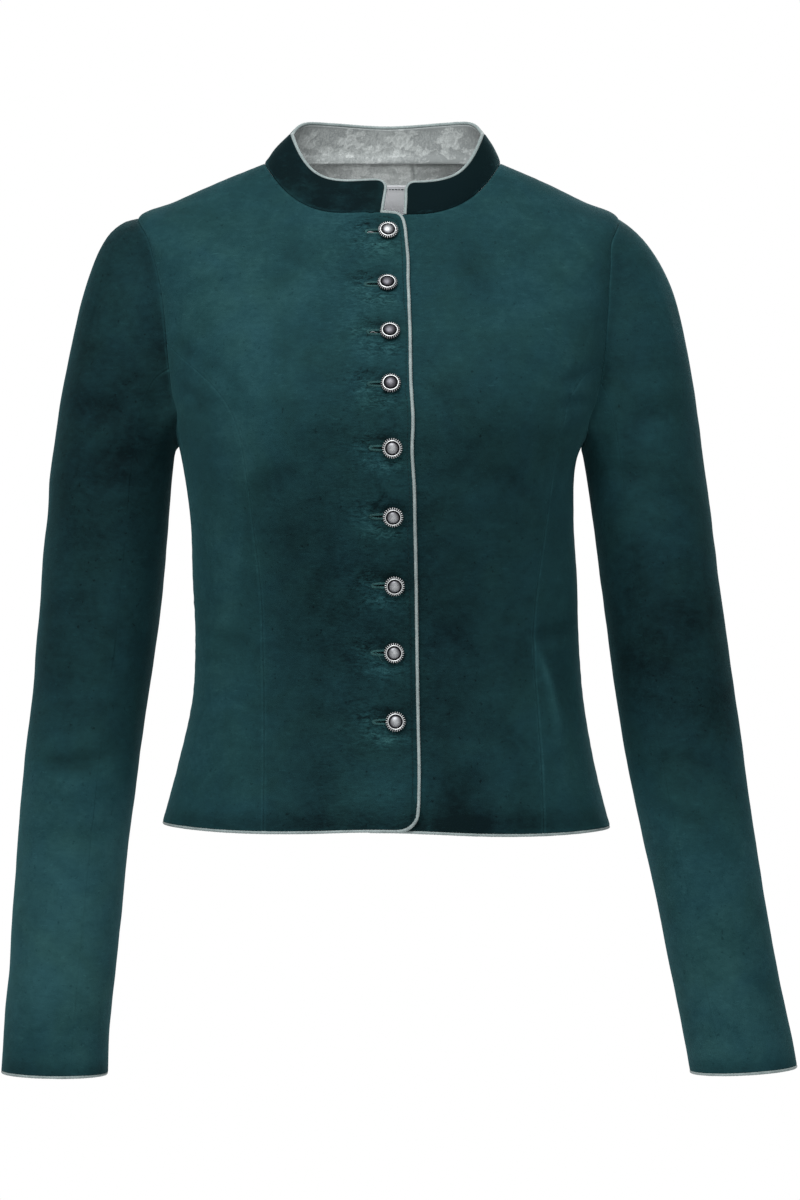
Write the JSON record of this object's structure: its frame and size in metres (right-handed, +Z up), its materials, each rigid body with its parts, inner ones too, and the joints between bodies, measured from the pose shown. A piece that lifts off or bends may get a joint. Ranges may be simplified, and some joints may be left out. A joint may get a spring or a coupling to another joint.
{
  "type": "trachten blazer",
  "caption": "Waist-length velvet trachten blazer with a stand collar, princess seams, satin piping and a row of domed metal buttons, held hollow as when worn.",
  "frame": {"origin": "midway between the two neck ends of the shoulder seams, where the wearer's shoulders and neck carry it", "axes": "+Z up, -Y out of the front closure, +X towards the wearer's left"},
  "size_m": [0.5882, 0.2608, 0.713],
  "materials": {
    "velvet": "deep teal cotton velvet, soft crushed nap",
    "brocade": "grey-silver brocade with a self-coloured flower ground",
    "woven_patch": "plain pale satin, bare",
    "satin_piping": "grey-silver satin over a cord",
    "silver": "antiqued silver with dark recesses"
  },
  "bodies": {
    "root": {"front_right": "velvet", "front_left": "velvet", "side_front_right": "velvet", "side_front_left": "velvet", "side_back_right": "velvet", "side_back_left": "velvet", "back_right": "velvet", "back_left": "velvet", "sleeve_upper_right": "velvet", "sleeve_upper_left": "velvet", "sleeve_under_right": "velvet", "sleeve_under_left": "velvet", "collar_outer": "velvet", "collar_lining": "brocade", "neck_facing": "brocade", "neck_patch": "woven_patch", "collar_piping": "satin_piping", "front_piping": "satin_piping", "hem_piping": "satin_piping", "cuff_piping_right": "satin_piping", "cuff_piping_left": "satin_piping", "button_1": "silver", "button_2": "silver", "button_3": "silver", "button_4": "silver", "button_5": "silver", "button_6": "silver", "button_7": "silver", "button_8": "silver", "button_9": "silver"}
  },
  "joints": []
}
